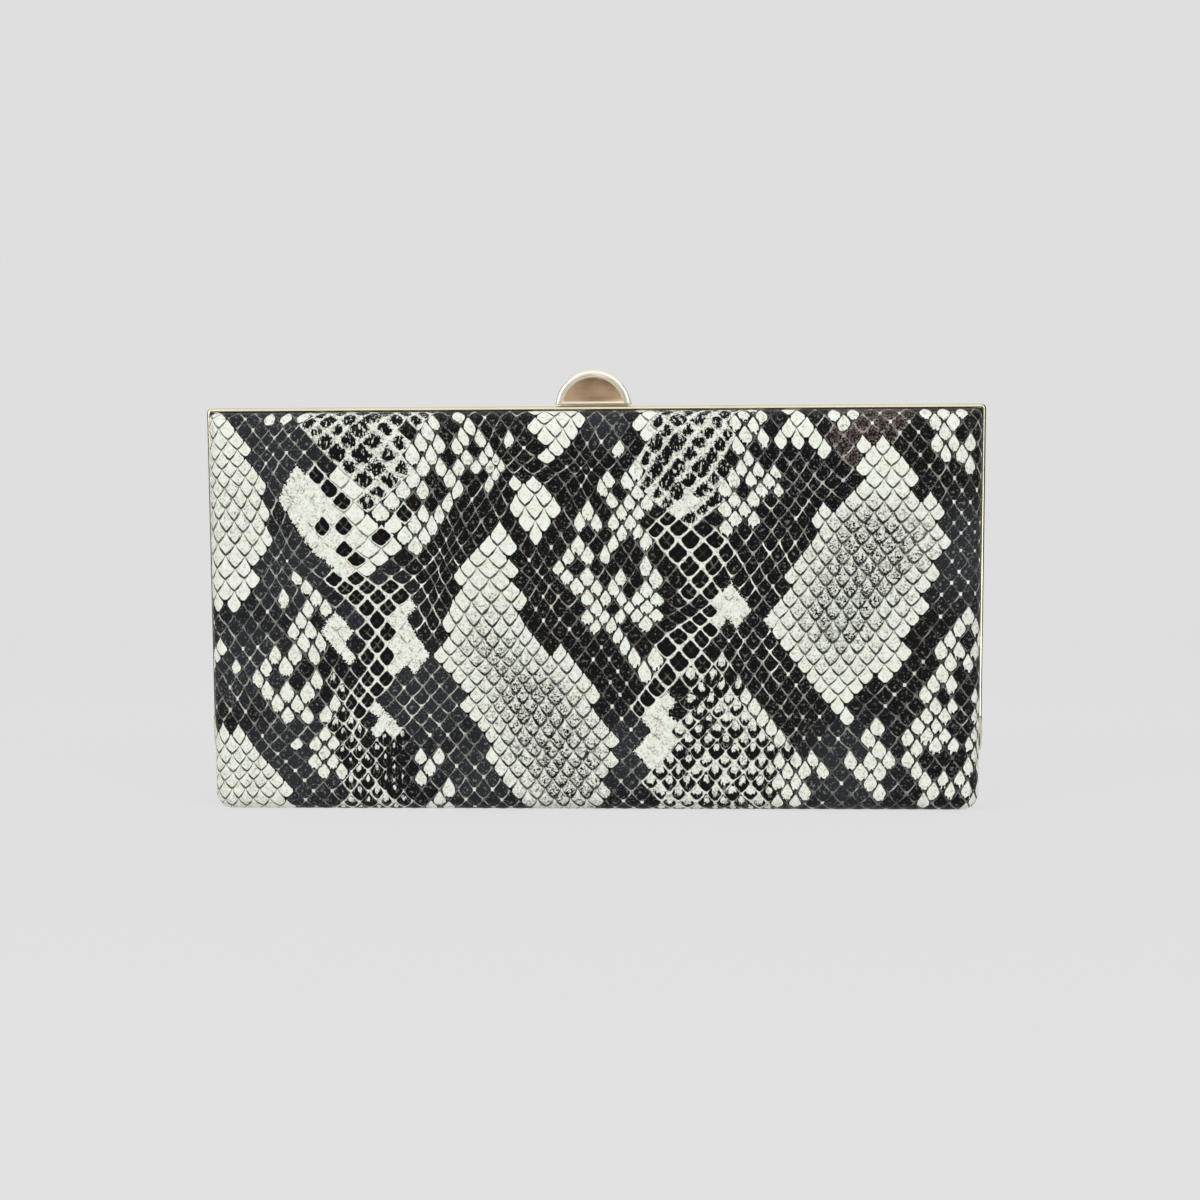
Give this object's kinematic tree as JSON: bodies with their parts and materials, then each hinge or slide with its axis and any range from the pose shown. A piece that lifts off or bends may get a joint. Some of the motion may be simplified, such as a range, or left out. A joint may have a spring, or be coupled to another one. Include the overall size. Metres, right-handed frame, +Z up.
{
  "type": "frame wallet",
  "caption": "Slim hard-sided frame wallet in black and white snake-print leather, gripped by a pale gold riveted frame with a half-moon clasp on top.",
  "frame": {"origin": "middle of the base that the wallet stands on", "axes": "+X along the width to the right as seen from the front, +Y to the back, +Z up towards the clasp"},
  "size_m": [0.19, 0.025, 0.1068],
  "materials": {
    "leather": "semi-gloss printed snake leather",
    "frame_metal": "polished pale gold plate",
    "clasp_metal": "polished rim round a brushed rose-gold face"
  },
  "bodies": {
    "root": {"leather_case": "leather", "front_frame": "frame_metal", "back_frame": "frame_metal", "rivet_left": "frame_metal", "rivet_right": "frame_metal", "clasp_front": "clasp_metal", "clasp_back": "clasp_metal"}
  },
  "joints": []
}
